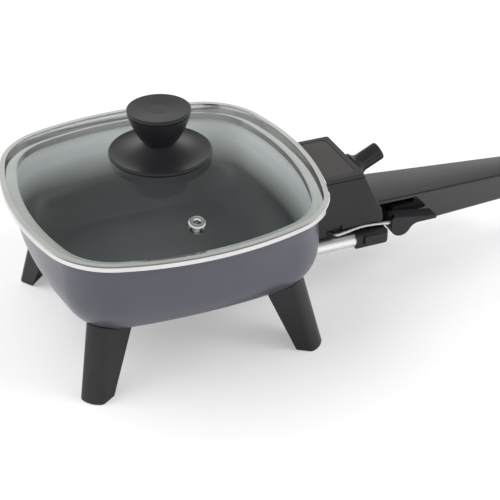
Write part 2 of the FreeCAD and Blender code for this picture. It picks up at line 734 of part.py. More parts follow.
def lid_glass():
    edge_inset = BAND_SHEET + GLASS_EDGE_GAP
    glass = lid_plate(edge_inset, GLASS_LOW_Z, GLASS_EDGE_Z)
    glass = glass.fuse(dome_form(LID_HALF - DOME_RIM_INSET, 0.0))
    inner_inset = LID_OVERHANG + PAN_WALL + LID_LOCATOR_GAP
    inner_half = LID_HALF - inner_inset
    glass = glass.cut(dome_form(inner_half, GLASS_THICK))
    glass = glass.cut(lid_plate(inner_inset, GLASS_LOW_Z - 1.0, dome_height(inner_half, GLASS_THICK)))
    tall = DOME_TOP_Z - LID_BASE_Z + 10.0
    glass = glass.cut(Part.makeCylinder(LID_SCREW_R + LID_HOLE_FIT, tall, Vec(0, 0, LID_BASE_Z)))
    hole = Part.makeCylinder(VENT_TUBE_R + VENT_FIT, 20.0, Vec(0, 0, -10.0))
    return glass.cut(vent_place(hole))


def lid_band():
    """Rolled steel channel round the glass, with a locating skirt inside the pan's rim."""
    wires = [
        lid_outline(BAND_ROLL, LID_BASE_Z),
        lid_outline(0.0, LID_BASE_Z + BAND_ROLL),
        lid_outline(0.0, BAND_TOP_Z - BAND_ROLL),
        lid_outline(BAND_ROLL, BAND_TOP_Z),
    ]
    locator_out = LID_OVERHANG + PAN_WALL + LID_LOCATOR_GAP
    locator_in = locator_out + BAND_SHEET
    band = Part.makeLoft(wires, True, True)
    band = band.cut(lid_plate(BAND_SHEET, GLASS_LOW_Z, GLASS_EDGE_Z))
    band = band.cut(lid_plate(BAND_LIP, GLASS_LOW_Z, BAND_TOP_Z + 1.0))
    band = band.cut(lid_plate(locator_in, LID_BASE_Z - 1.0, BAND_TOP_Z))
    locator = lid_plate(locator_out, LID_BASE_Z - LID_LOCATOR_DEPTH, GLASS_LOW_Z)
    locator = locator.cut(lid_plate(locator_in, LID_BASE_Z - LID_LOCATOR_DEPTH - 1.0, BAND_TOP_Z))
    return band.fuse(locator).removeSplitter()


def steam_vent():
    """Steel eyelet: a tube through the glass with a rolled flange on each face."""
    low = -GLASS_THICK - VENT_FLANGE
    outline = [
        Vec(VENT_HOLE_R, 0, low),
        Vec(VENT_FLANGE_R - 0.4, 0, low),
        Vec(VENT_FLANGE_R - 0.4, 0, -GLASS_THICK - 0.3),
        Vec(VENT_TUBE_R, 0, -GLASS_THICK - 0.3),
        Vec(VENT_TUBE_R, 0, 0.35),
        Vec(VENT_FLANGE_R, 0, 0.35),
        Vec(VENT_FLANGE_R - 0.5, 0, 0.35 + VENT_FLANGE * 0.7),
        Vec(VENT_FLANGE_R - 1.6, 0, 0.35 + VENT_FLANGE),
        Vec(VENT_HOLE_R + 0.5, 0, 0.35 + VENT_FLANGE * 0.8),
        Vec(VENT_HOLE_R, 0, 0.35),
    ]
    return vent_place(revolve(outline, Vec(0, 0, 0), Z_AXIS))


def knob_gasket():
    base = Vec(0, 0, flat_top_z(0.0))
    ring = Part.makeCylinder(WASHER_R, GASKET_THICK, base)
    return ring.cut(Part.makeCylinder(LID_SCREW_R + LID_HOLE_FIT, GASKET_THICK, base))


def flat_top_z(depth):
    """Height of the small flat in the middle of the dome, measured a depth below its outside."""
    return dome_height(DOME_TOP_HALF, depth)


def inner_washer():
    base = Vec(0, 0, flat_top_z(GLASS_THICK) - WASHER_THICK)
    ring = Part.makeCylinder(WASHER_R, WASHER_THICK, base)
    return ring.cut(Part.makeCylinder(LID_SCREW_R, WASHER_THICK, base))


def lid_screw():
    seat = flat_top_z(GLASS_THICK) - WASHER_THICK
    shank = Part.makeCylinder(LID_SCREW_R, LID_SCREW_LENGTH, Vec(0, 0, seat))
    head = Part.makeCylinder(LID_SCREW_HEAD_R, LID_SCREW_HEAD, Vec(0, 0, seat - LID_SCREW_HEAD))
    return shank.fuse(head).removeSplitter()


def lid_knob():
    """Turned form: wide foot, waisted neck and a bowl, recessed for its inset cap."""
    def p(r, z):
        return Vec(r, 0, z)

    foot_z = DOME_TOP_Z
    edge_top = foot_z + KNOB_BASE_EDGE
    seat_z = flat_top_z(0.0) + GASKET_THICK
    cap_z = KNOB_TOP_Z - KNOB_CAP_THICK
    foot_in = KNOB_BASE_R - KNOB_BASE_LIP
    bowl_end_z = cap_z - KNOB_CAP_GROOVE
    bowl_mid_z = KNOB_NECK_Z + (bowl_end_z - KNOB_NECK_Z) * KNOB_BOWL_SHARE
    edges = [
        Part.LineSegment(p(0, seat_z), p(WASHER_R + 1.0, seat_z)),
        Part.LineSegment(p(WASHER_R + 1.0, seat_z), p(foot_in, foot_z)),
        Part.LineSegment(p(foot_in, foot_z), p(KNOB_BASE_R - 1.1, foot_z)),
        Part.Arc(p(KNOB_BASE_R - 1.1, foot_z), p(KNOB_BASE_R, foot_z + 1.2), p(KNOB_BASE_R - 0.9, edge_top)),
        Part.Arc(
            p(KNOB_BASE_R - 0.9, edge_top),
            p(KNOB_NECK_R + KNOB_NECK_FLARE, KNOB_NECK_Z - KNOB_NECK_FLARE_DROP),
            p(KNOB_NECK_R, KNOB_NECK_Z),
        ),
        Part.Arc(
            p(KNOB_NECK_R, KNOB_NECK_Z),
            p(KNOB_TOP_R - KNOB_BOWL_IN, bowl_mid_z),
            p(KNOB_TOP_R - 0.2, bowl_end_z),
        ),
        Part.LineSegment(p(KNOB_TOP_R - 0.2, bowl_end_z), p(KNOB_TOP_R - 0.8, cap_z)),
        Part.LineSegment(p(KNOB_TOP_R - 0.8, cap_z), p(0, cap_z)),
        Part.LineSegment(p(0, cap_z), p(0, seat_z)),
    ]
    wire = Part.Wire([edge.toShape() for edge in edges])
    body = Part.Face(wire).revolve(Vec(0, 0, 0), Z_AXIS, 360)
    socket_base = Vec(0, 0, cap_z - KNOB_SOCKET_DEPTH)
    body = body.cut(Part.makeCylinder(KNOB_SOCKET_R, KNOB_SOCKET_DEPTH, socket_base))
    screw_top = flat_top_z(GLASS_THICK) - WASHER_THICK + LID_SCREW_LENGTH
    return body.cut(Part.makeCylinder(LID_SCREW_R, screw_top - seat_z, Vec(0, 0, seat_z)))


def lid_knob_cap():
    """Dished disc pressed into the top of the knob."""
    def p(r, z):
        return Vec(r, 0, z)

    base = KNOB_TOP_Z - KNOB_CAP_THICK
    edges = [
        Part.LineSegment(p(0, base), p(KNOB_TOP_R - 0.8, base)),
        Part.LineSegment(p(KNOB_TOP_R - 0.8, base), p(KNOB_TOP_R, base + KNOB_CAP_GROOVE)),
        Part.LineSegment(p(KNOB_TOP_R, base + KNOB_CAP_GROOVE), p(KNOB_TOP_R, KNOB_TOP_Z - 0.7)),
        Part.Arc(
            p(KNOB_TOP_R, KNOB_TOP_Z - 0.7),
            p(KNOB_TOP_R - 0.25, KNOB_TOP_Z - 0.15),
            p(KNOB_TOP_R - 0.8, KNOB_TOP_Z),
        ),
        Part.LineSegment(p(KNOB_TOP_R - 0.8, KNOB_TOP_Z), p(KNOB_CAP_FLAT_R, KNOB_TOP_Z - KNOB_CAP_DISH)),
        Part.LineSegment(p(KNOB_CAP_FLAT_R, KNOB_TOP_Z - KNOB_CAP_DISH), p(0, KNOB_TOP_Z - KNOB_CAP_DISH)),
        Part.LineSegment(p(0, KNOB_TOP_Z - KNOB_CAP_DISH), p(0, base)),
    ]
    wire = Part.Wire([edge.toShape() for edge in edges])
    cap = Part.Face(wire).revolve(Vec(0, 0, 0), Z_AXIS, 360)
    spigot_out = KNOB_SOCKET_R - KNOB_SPIGOT_FIT
    spigot_base = Vec(0, 0, base - KNOB_SPIGOT)
    spigot = Part.makeCylinder(spigot_out, KNOB_SPIGOT, spigot_base)
    spigot = spigot.cut(Part.makeCylinder(spigot_out - KNOB_SPIGOT_WALL, KNOB_SPIGOT, spigot_base))
    return cap.fuse(spigot).removeSplitter()


# Control box

def box_outline(inset):
    """Side view of the box as (x, z) points, drawn in by an even wall."""
    slope_x = BOX_KNEE_X - BOX_TOP_END_X
    slope_z = BOX_TOP_Z - BOX_KNEE_Z
    shift = inset * math.hypot(slope_x, slope_z) / slope_z
    lower = inset * 1.05
    return [
        (PAN_FLAT_HALF, BOX_BASE_Z + inset),
        (BOX_END_X - lower, BOX_BASE_Z + inset),
        (BOX_END_X - 0.45 - lower, (BOX_BASE_Z + BOX_KNEE_Z) / 2.0),
        (BOX_KNEE_X - shift, BOX_KNEE_Z),
        (BOX_TOP_END_X - shift, BOX_TOP_Z),
        (PAN_FLAT_HALF, BOX_TOP_Z),
    ]


def box_form():
    """Outside of the whole box, with its end edges softened and the pan's curve cut away."""
    form = side_prism(box_outline(0.0), -BOX_HALF, BOX_HALF)
    form = fillet_edges(
        form, BOX_EDGE_ROUND,
        lambda e, m: m.x > BOX_TOP_END_X and BOX_BASE_Z + 0.1 < m.z < BOX_TOP_Z - 0.1
        and abs(abs(m.y) - BOX_HALF) < 0.01,
    )
    return form.cut(pan_form(BOX_PAN_GAP, PAN_BASE_Z - BOX_PAN_GAP, 10.0))


def slab(shape, z0, z1):
    return shape.common(block(0, HANDLE_END_X, -BOX_HALF - 5, BOX_HALF + 5, z0, z1))


def dial_frame():
    """Point on the end wall where the dial's shaft comes out, and the wall's outward normal."""
    slope = (BOX_KNEE_X - BOX_TOP_END_X) / (BOX_TOP_Z - BOX_KNEE_Z)
    point = Vec(BOX_TOP_END_X + slope * (BOX_TOP_Z - DIAL_Z), 0, DIAL_Z)
    length = math.hypot(1.0, slope)
    return point, Vec(1.0 / length, 0, slope / length)


def along_dial(distance):
    point, normal = dial_frame()
    return point + normal * distance


def control_box():
    """Main shell: end wall, curved inner wall, sides and floor, with thin skirts below."""
    outer = box_form()
    top_z = BOX_TOP_Z - COVER_HEIGHT
    shell = slab(outer, BOX_BASE_Z, top_z)
    cavity = side_prism(box_outline(BOX_WALL), -BOX_HALF + BOX_WALL, BOX_HALF - BOX_WALL)
    cavity_gap = BOX_PAN_GAP + BOX_WALL
    cavity = cavity.cut(pan_form(cavity_gap, PAN_BASE_Z - cavity_gap, 10.0))
    shell = shell.cut(cavity)
    inner_y = BOX_HALF - BOX_WALL
    shell = shell.fuse(block(SKIRT_START_X, SKIRT_END_X, inner_y, BOX_HALF, SKIRT_BASE_Z, BOX_BASE_Z))
    shell = shell.fuse(block(SKIRT_START_X, RECESS_START_X, -BOX_HALF, -inner_y, SKIRT_BASE_Z, BOX_BASE_Z))
    recess = block(
        RECESS_START_X, SKIRT_END_X,
        -BOX_HALF - 1.0, -BOX_HALF + RECESS_DEPTH, BOX_BASE_Z - 1.0, RECESS_TOP_Z,
    )
    shell = shell.cut(recess)
    shell = shell.cut(rod(DIAL_BUSH_R + DIAL_BUSH_HOLE_FIT, along_dial(-6.0), along_dial(2.0)))
    cord_hole = rod(
        CORD_BUSH_R + CORD_BUSH_FIT,
        Vec(CORD_X, BOX_HALF - BOX_WALL - 1.0, CORD_Z), Vec(CORD_X, BOX_HALF + 1.0, CORD_Z),
    )
    shell = shell.cut(cord_hole)
    shell = shell.cut(neck_screw())
    for screw in box_screw_list():
        shell = shell.cut(screw)
    return shell


def control_box_cover():
    """Top cover with a raised rim round the inset panel and a groove above the shell."""
    outer = box_form()
    low = BOX_TOP_Z - COVER_HEIGHT
    cover = slab(outer, low, BOX_TOP_Z)
    neck_outline = side_prism(box_outline(COVER_GROOVE), -BOX_HALF + COVER_GROOVE, BOX_HALF - COVER_GROOVE)
    groove = slab(outer, low, low + COVER_GROOVE).cut(neck_outline)
    cover = cover.cut(groove)
    cover = cover.cut(panel_form(0.0, BOX_TOP_Z - PANEL_DEPTH, 5.0))
    for x in POST_XS:
        for side in (-1, 1):
            base = Vec(x, side * POST_Y, BOX_BASE_Z + BOX_WALL)
            cover = cover.fuse(Part.makeCylinder(POST_R, low - BOX_BASE_Z - BOX_WALL + 0.5, base))
    for screw in box_screw_list():
        cover = cover.cut(screw)
    return cover.removeSplitter()


def panel_form(inset, z, height):
    """Rounded plate of the cover's recess, drawn in by an even fit."""
    x0 = PANEL_START_X + inset
    x1 = BOX_TOP_END_X - COVER_RIM - inset
    half = BOX_HALF - COVER_RIM - inset
    plate = block(x0, x1, -half, half, z, z + height)
    return fillet_edges(plate, PANEL_CORNER_R - inset, lambda e, m: is_straight_along(e, Z_AXIS))


def top_panel():
    plate = panel_form(PANEL_FIT, BOX_TOP_Z - PANEL_DEPTH, PANEL_THICK)
    return plate.cut(pan_form(BOX_PAN_GAP + BOX_WALL, PAN_BASE_Z, 10.0))


def box_screw_list():
    screws = []
    for x in POST_XS:
        for side in (-1, 1):
            centre = Vec(x, side * POST_Y, BOX_BASE_Z)
            shank = Part.makeCylinder(BOX_SCREW_R, BOX_SCREW_LENGTH, centre)
            head = Part.makeCylinder(BOX_SCREW_HEAD_R, BOX_SCREW_HEAD, centre)
            screws.append(shank.fuse(head).removeSplitter())
    return screws


# Thermostat and dial

def thermostat():
    """Switch block behind the end wall, with a bush that carries the dial's shaft."""
    point, normal = dial_frame()
    body = Part.makeBox(THERMOSTAT_DEPTH, 2 * THERMOSTAT_HALF, 2 * THERMOSTAT_HIGH)
    body.translate(Vec(-THERMOSTAT_IN - THERMOSTAT_DEPTH, -THERMOSTAT_HALF, -THERMOSTAT_HIGH))
    body.rotate(Vec(0, 0, 0), Y_AXIS, -math.degrees(math.atan2(normal.z, normal.x)))
    body.translate(point)
    bush = rod(DIAL_BUSH_R, along_dial(-THERMOSTAT_IN), along_dial(0.0))
    collar = rod(DIAL_BUSH_R + 2.0, along_dial(-THERMOSTAT_IN), along_dial(-BOX_WALL - 0.4))
    body = body.fuse(bush).fuse(collar)
    bore = rod(DIAL_SHAFT_R + DIAL_RUN_FIT, along_dial(-DIAL_SHAFT_IN - 0.3), along_dial(1.0))
    return body.cut(bore)


def dial_shaft():
    shaft = rod(DIAL_SHAFT_R, along_dial(-DIAL_SHAFT_IN), along_dial(DIAL_SHAFT_OUT))
    flat = Part.makeBox(20.0, 8.0, 4.0)
    flat.translate(Vec(DIAL_GAP, -4.0, DIAL_SHAFT_R * 0.55))
    point, normal = dial_frame()
    flat.rotate(Vec(0, 0, 0), Y_AXIS, -math.degrees(math.atan2(normal.z, normal.x)))
    flat.translate(point)
    return shaft.cut(flat)


def thermostat_knob():
    """Ribbed grip that flares through a cone into a flat skirt."""
    def q(r, w):
        return Vec(r, 0, w)

    top = DIAL_LENGTH
    skirt_top = DIAL_GAP + DIAL_SKIRT
    cone_top = skirt_top + DIAL_CONE
    edges = [
        Part.LineSegment(q(0, DIAL_GAP), q(DIAL_SKIRT_R - 0.4, DIAL_GAP)),
        Part.LineSegment(q(DIAL_SKIRT_R - 0.4, DIAL_GAP), q(DIAL_SKIRT_R, DIAL_GAP + 0.4)),
        Part.LineSegment(q(DIAL_SKIRT_R, DIAL_GAP + 0.4), q(DIAL_SKIRT_R, skirt_top - 0.7)),
        Part.LineSegment(q(DIAL_SKIRT_R, skirt_top - 0.7), q(DIAL_SKIRT_R - 0.8, skirt_top)),
        Part.Arc(
            q(DIAL_SKIRT_R - 0.8, skirt_top),
            q(DIAL_GRIP_R + 0.8, skirt_top + DIAL_CONE * 0.38),
            q(DIAL_GRIP_R, cone_top),
        ),
        Part.LineSegment(q(DIAL_GRIP_R, cone_top), q(DIAL_GRIP_R, top - 1.6)),
        Part.Arc(q(DIAL_GRIP_R, top - 1.6), q(DIAL_GRIP_R - 0.5, top - 0.5), q(DIAL_GRIP_R - 1.6, top)),
        Part.LineSegment(q(DIAL_GRIP_R - 1.6, top), q(0, top)),
        Part.LineSegment(q(0, top), q(0, DIAL_GAP)),
    ]
    wire = Part.Wire([edge.toShape() for edge in edges])
    knob = Part.Face(wire).revolve(Vec(0, 0, 0), Z_AXIS, 360)
    for rib in range(DIAL_RIBS):
        angle = 2.0 * math.pi * rib / DIAL_RIBS
        centre = Vec(
            (DIAL_GRIP_R + DIAL_RIB_CUT_R * 0.35) * math.cos(angle),
            (DIAL_GRIP_R + DIAL_RIB_CUT_R * 0.35) * math.sin(angle),
            cone_top + 0.6,
        )
        knob = knob.cut(Part.makeCylinder(DIAL_RIB_CUT_R, top, centre))
    point, normal = dial_frame()
    tilt = math.degrees(math.atan2(normal.x, normal.z))
    knob.rotate(Vec(0, 0, 0), Y_AXIS, tilt)
    knob.translate(point)
    return knob.cut(dial_shaft())


# Terminal block, sleeves and probe

def terminal_block():
    body = block(BLOCK_START_X, BLOCK_END_X, -BLOCK_HALF, BLOCK_HALF, BLOCK_BASE_Z, BOX_BASE_Z)
    body = fillet_edges(
        body, BLOCK_ROUND,
        lambda e, m: is_straight_along(e, X_AXIS) and m.z < BLOCK_BASE_Z + 0.1,
    )
    for side in (-1, 1):
        y = side * TERMINAL_Y
        start = Vec(BLOCK_START_X - 1.0, y, ELEMENT_Z)
        body = body.cut(rod(SLEEVE_R, start, Vec(SLEEVE_END_X, y, ELEMENT_Z)))
    probe_start = Vec(BLOCK_START_X - 1.0, 0, ELEMENT_Z)
    return body.cut(rod(PROBE_R, probe_start, Vec(PROBE_END_X, 0, ELEMENT_Z)))


def contact_sleeves():
    sleeves = []
    for side in (-1, 1):
        y = side * TERMINAL_Y
        start = Vec(SLEEVE_START_X, y, ELEMENT_Z)
        end = Vec(SLEEVE_END_X, y, ELEMENT_Z)
        sleeves.append(rod(SLEEVE_R, start, end).cut(rod(TERMINAL_PIN_R + SLEEVE_FIT, start, end)))
    return Part.makeCompound(sleeves)


def temperature_probe():
    tip = Vec(PROBE_TIP_X + PROBE_R, 0, ELEMENT_Z)
    shank = rod(PROBE_R, tip, Vec(PROBE_END_X, 0, ELEMENT_Z))
    return shank.fuse(Part.makeSphere(PROBE_R, tip)).removeSplitter()


def cord_bush():
    """Rubber bush of the cord inlet: flange, stub and open bore."""
    inner = BOX_HALF - BOX_WALL - 1.0
    outer = BOX_HALF + CORD_STUB
    body = rod(CORD_BUSH_R, Vec(CORD_X, inner, CORD_Z), Vec(CORD_X, outer, CORD_Z))
    flange = rod(CORD_FLANGE_R, Vec(CORD_X, BOX_HALF, CORD_Z), Vec(CORD_X, BOX_HALF + CORD_FLANGE, CORD_Z))
    body = body.fuse(flange)
    bore = rod(CORD_BORE_R, Vec(CORD_X, inner - 1.0, CORD_Z), Vec(CORD_X, outer + 1.0, CORD_Z))
    return body.cut(bore).removeSplitter()


# Handle

def handle_half(x):
    return HANDLE_REF_HALF - (x - HANDLE_REF_X) * HANDLE_TAPER


def handle_top_z(x):
    return HANDLE_REF_TOP_Z - (x - HANDLE_REF_X) * HANDLE_TOP_FALL


def handle_section(x):
    """Cross-section: crowned top, rounded ridge, drafted sides and soft lower corners."""
    half = handle_half(x)
    top = handle_top_z(x)
    base = HANDLE_BASE_Z
    shoulder = top - HANDLE_CROWN
    low_half = half - HANDLE_SIDE_DRAFT
    bend = math.sqrt(0.5)

    def p(y, z):
        return Vec(x, y, z)

    def corner(side, lower):
        """Start, middle and end of one rounded corner, from the side face inwards."""
        if lower:
            cy = low_half - HANDLE_BASE_ROUND
            cz = base + HANDLE_BASE_ROUND
            r = HANDLE_BASE_ROUND
            return [p(side * (cy + r), cz), p(side * (cy + r * bend), cz - r * bend), p(side * cy, base)]
        r = HANDLE_RIDGE_R
        cy = half - r
        cz = shoulder - r
        return [p(side * half, cz), p(side * (cy + r * bend), cz + r * bend), p(side * cy, shoulder)]

    right_top = corner(1, False)
    left_top = corner(-1, False)
    right_low = corner(1, True)
    left_low = corner(-1, True)
    edges = [
        Part.Arc(right_top[2], p(0, top), left_top[2]),
        Part.Arc(left_top[2], left_top[1], left_top[0]),
        Part.LineSegment(left_top[0], left_low[0]),
        Part.Arc(left_low[0], left_low[1], left_low[2]),
        Part.LineSegment(left_low[2], right_low[2]),
        Part.Arc(right_low[2], right_low[1], right_low[0]),
        Part.LineSegment(right_low[0], right_top[0]),
        Part.Arc(right_top[0], right_top[1], right_top[2]),
    ]
    return Part.Wire([edge.toShape() for edge in edges])


def handle_form():
    """Outside of the whole handle, its far end rounded in plan."""
    form = Part.makeLoft([handle_section(HANDLE_START_X), handle_section(HANDLE_END_X)], True, True)
    r = HANDLE_END_ROUND
    end_half = handle_half(HANDLE_END_X) + 1.0
    for side in (-1, 1):
        corner = block(HANDLE_END_X - r, HANDLE_END_X + 1.0, 0, end_half + 1.0, 0, BOX_TOP_Z)
        post = Part.makeCylinder(r, BOX_TOP_Z, Vec(HANDLE_END_X - r, handle_half(HANDLE_END_X) - r, 0))
        keep = block(HANDLE_END_X - r, HANDLE_END_X, 0, handle_half(HANDLE_END_X) - r, 0, BOX_TOP_Z)
        corner = corner.cut(post).cut(keep)
        if side < 0:
            corner = corner.mirror(Vec(0, 0, 0), Y_AXIS)
        form = form.cut(corner)
    return form


def below_top_line(drop, x0, x1):
    """Everything under the handle's top line lowered by a depth, between two stations."""
    points = [
        (x0, 0.0),
        (x1, 0.0),
        (x1, handle_top_z(x1) - drop),
        (x0, handle_top_z(x0) - drop),
    ]
    wide = 2.0 * BOX_HALF
    return side_prism(points, -wide, wide)


def hollow_form(x0, x1, wall):
    """Inside of the handle between two stations, drawn in by a wall and clear of the posts."""
    outline = [
        Vec(x0, -handle_half(x0) + wall + HANDLE_SIDE_DRAFT, 0),
        Vec(x1, -handle_half(x1) + wall + HANDLE_SIDE_DRAFT, 0),
        Vec(x1, handle_half(x1) - wall - HANDLE_SIDE_DRAFT, 0),
        Vec(x0, handle_half(x0) - wall - HANDLE_SIDE_DRAFT, 0),
    ]
    wire = Part.makePolygon(outline + [outline[0]])
    hollow = Part.Face(wire).extrude(Vec(0, 0, BOX_TOP_Z))
    hollow = hollow.common(below_top_line(HANDLE_TOP_THICK, 0.0, HANDLE_END_X + 10.0))
    for x in HANDLE_SCREW_XS:
        hollow = hollow.cut(Part.makeCylinder(HANDLE_POST_R, BOX_TOP_Z, Vec(x, 0, 0)))
    return hollow


def handle_top():
    top = handle_form().cut(below_top_line(HANDLE_TOP_DEPTH, 0.0, HANDLE_END_X + 10.0))
    hollow = hollow_form(HANDLE_HOLLOW_START_X, HANDLE_END_X - HANDLE_END_ROUND, HANDLE_WALL)
    top = top.cut(hollow).cut(box_form())
    for screw in handle_screw_list():
        top = top.cut(screw)
    return top


def handle_lower():
    """Lower shell: neck to the box, open slot under the cover's lip, hollow grip."""
    form = handle_form().common(below_top_line(HANDLE_TOP_DEPTH, 0.0, HANDLE_END_X + 10.0))
    x0 = HANDLE_START_X
    x1 = HANDLE_END_X + 5.0
    side_view = [
        (x0, NECK_BASE_Z),
        (NECK_END_X - 1.5, NECK_BASE_Z),
        (NECK_END_X + 1.0, NECK_BASE_Z - 3.0),
        (NECK_END_X + 3.5, HANDLE_BASE_Z + 1.0),
        (NECK_END_X + 6.0, HANDLE_BASE_Z),
        (NECK_END_X + 6.0, 0.0),
        (x1, 0.0),
        (x1, BOX_TOP_Z),
        (SLOT_END_X, BOX_TOP_Z),
        (SLOT_END_X, SLOT_FLOOR_Z + 1.0),
        (SLOT_END_X - 1.0, SLOT_FLOOR_Z),
        (NECK_END_X + 3.2, SLOT_FLOOR_Z),
        (NECK_END_X + 0.9, SLOT_FLOOR_Z - 1.0),
        (NECK_END_X, NECK_TOP_Z),
        (x0, NECK_TOP_Z),
    ]
    lower = form.common(side_prism(side_view, -BOX_HALF, BOX_HALF))
    rib_view = [
        (x0, NECK_BASE_Z),
        (SLOT_END_X + 1.0, NECK_BASE_Z),
        (SLOT_END_X + 1.0, BOX_TOP_Z),
        (x0, BOX_TOP_Z),
    ]
    lower = lower.fuse(form.common(side_prism(rib_view, -NECK_HALF, NECK_HALF)))
    hollow = hollow_form(HANDLE_HOLLOW_START_X, HANDLE_END_X - HANDLE_END_ROUND, HANDLE_WALL)
    floor_z = HANDLE_BASE_Z + HANDLE_WALL
    hollow = hollow.cut(block(0, x1, -BOX_HALF, BOX_HALF, 0, floor_z))
    lower = lower.cut(hollow)
    lower = lower.cut(box_form())
    for screw in handle_screw_list():
        lower = lower.cut(screw)
    lower = lower.cut(lever_pin()).cut(neck_screw())
    return lower.removeSplitter()


def handle_screw_list():
    screws = []
    for x in HANDLE_SCREW_XS:
        base = HANDLE_BASE_Z + 0.8
        top = handle_top_z(x) - 1.2
        shank = Part.makeCylinder(HANDLE_SCREW_R, top - base, Vec(x, 0, base))
        head = Part.makeCylinder(HANDLE_SCREW_HEAD_R, HANDLE_SCREW_HEAD, Vec(x, 0, base))
        screws.append(shank.fuse(head).removeSplitter())
    return screws


def neck_screw():
    """Screw from inside the box through its end wall into the handle's rib."""
    seat_x = BOX_END_X - 0.45 - BOX_WALL * 1.05
    z = NECK_SCREW_Z
    shank = rod(NECK_SCREW_R, Vec(seat_x, 0, z), Vec(seat_x + NECK_SCREW_LENGTH, 0, z))
    head = rod(NECK_SCREW_HEAD_R, Vec(seat_x - HANDLE_SCREW_HEAD, 0, z), Vec(seat_x, 0, z))
    return shank.fuse(head).removeSplitter()


# Release lever and rod

def release_lever():
    """Round hub on the pin, slotted for the rod, with a flat wing along the handle."""
    def p(x, z):
        return Vec(x, LEVER_FRONT_Y, z)

    hub = p(LEVER_HUB_X, LEVER_HUB_Z)
    left = LEVER_HUB_X - LEVER_HUB_R
    top_left = p(left, LEVER_TOP_Z - 2.6)
    top_start = p(left + 2.8, LEVER_TOP_Z)
    top_end = p(LEVER_TIP_X - 1.4, LEVER_TIP_TOP_Z)
    tip = p(LEVER_TIP_X, (LEVER_TIP_TOP_Z + LEVER_TIP_BASE_Z) / 2.0)
    base_end = p(LEVER_TIP_X - 1.4, LEVER_TIP_BASE_Z)
    base_start = p(LEVER_HUB_X + 12.5, LEVER_TIP_BASE_Z)
    exit_angle = math.radians(-28.0)
    flank_low = hub + Vec(math.cos(exit_angle), 0, math.sin(exit_angle)) * LEVER_HUB_R
    flank_mid = (base_start + flank_low) * 0.5 + Vec(-0.55, 0, 0.75)
    low_angle = math.radians(-104.0)
    hub_low = hub + Vec(math.cos(low_angle), 0, math.sin(low_angle)) * LEVER_HUB_R
    edges = [
        Part.LineSegment(p(left, LEVER_HUB_Z), top_left),
        Part.Arc(top_left, p(left + 0.8, LEVER_TOP_Z - 0.8), top_start),
        Part.LineSegment(top_start, top_end),
        Part.Arc(top_end, tip, base_end),
        Part.LineSegment(base_end, base_start),
        Part.Arc(base_start, flank_mid, flank_low),
        Part.Arc(flank_low, hub_low, p(left, LEVER_HUB_Z)),
    ]
    wire = Part.Wire([edge.toShape() for edge in edges])
    lever = Part.Face(wire).extrude(Vec(0, LEVER_BACK_Y - LEVER_FRONT_Y, 0))
    lever = fillet_edges(lever, LEVER_EDGE_ROUND, lambda e, m: abs(m.y - LEVER_FRONT_Y) < 0.01)
    pin_hole = rod(
        LEVER_PIN_R + LEVER_PIN_FIT,
        Vec(LEVER_PIVOT_X, LEVER_PIN_FRONT_Y - 0.2, LEVER_PIVOT_Z),
        Vec(LEVER_PIVOT_X, LEVER_BACK_Y + 1.0, LEVER_PIVOT_Z),
    )
    pocket = rod(
        LEVER_POCKET_R,
        Vec(LEVER_PIVOT_X, LEVER_BACK_Y - LEVER_POCKET_DEPTH, LEVER_PIVOT_Z),
        Vec(LEVER_PIVOT_X, LEVER_BACK_Y + 1.0, LEVER_PIVOT_Z),
    )
    rod_slot = block(
        left - 2.0, ROD_LEVER_X + ROD_END_GAP,
        ROD_Y - ROD_SLOT_HALF, ROD_Y + ROD_SLOT_HALF,
        ROD_LEVER_Z - ROD_SLOT_FLOOR, LEVER_TOP_Z + 2.0,
    )
    return lever.cut(pin_hole).cut(pocket).cut(rod_slot)


def lever_pin():
    start = Vec(LEVER_PIVOT_X, LEVER_PIN_FRONT_Y, LEVER_PIVOT_Z)
    return rod(LEVER_PIN_R, start, Vec(LEVER_PIVOT_X, LEVER_PIN_BACK_Y, LEVER_PIVOT_Z))


def lever_spring():
    """Coil of flat wire round the pin, in the pocket at the back of the lever's hub."""
    height = LEVER_SPRING_PITCH * LEVER_SPRING_TURNS
    helix = Part.makeHelix(LEVER_SPRING_PITCH, height, LEVER_SPRING_R)
    inner = LEVER_SPRING_R - LEVER_SPRING_WIRE_WIDE / 2.0
    outer = LEVER_SPRING_R + LEVER_SPRING_WIRE_WIDE / 2.0
    half = LEVER_SPRING_WIRE_THICK / 2.0
    corners = [Vec(inner, 0, -half), Vec(outer, 0, -half), Vec(outer, 0, half), Vec(inner, 0, half)]
    section = Part.makePolygon(corners + [corners[0]])
    coil = Part.Wire(helix.Edges).makePipeShell([section], True, True)
    coil.rotate(Vec(0, 0, 0), X_AXIS, 90)
    coil.translate(Vec(LEVER_PIVOT_X, LEVER_BACK_Y - half, LEVER_PIVOT_Z))
    return coil


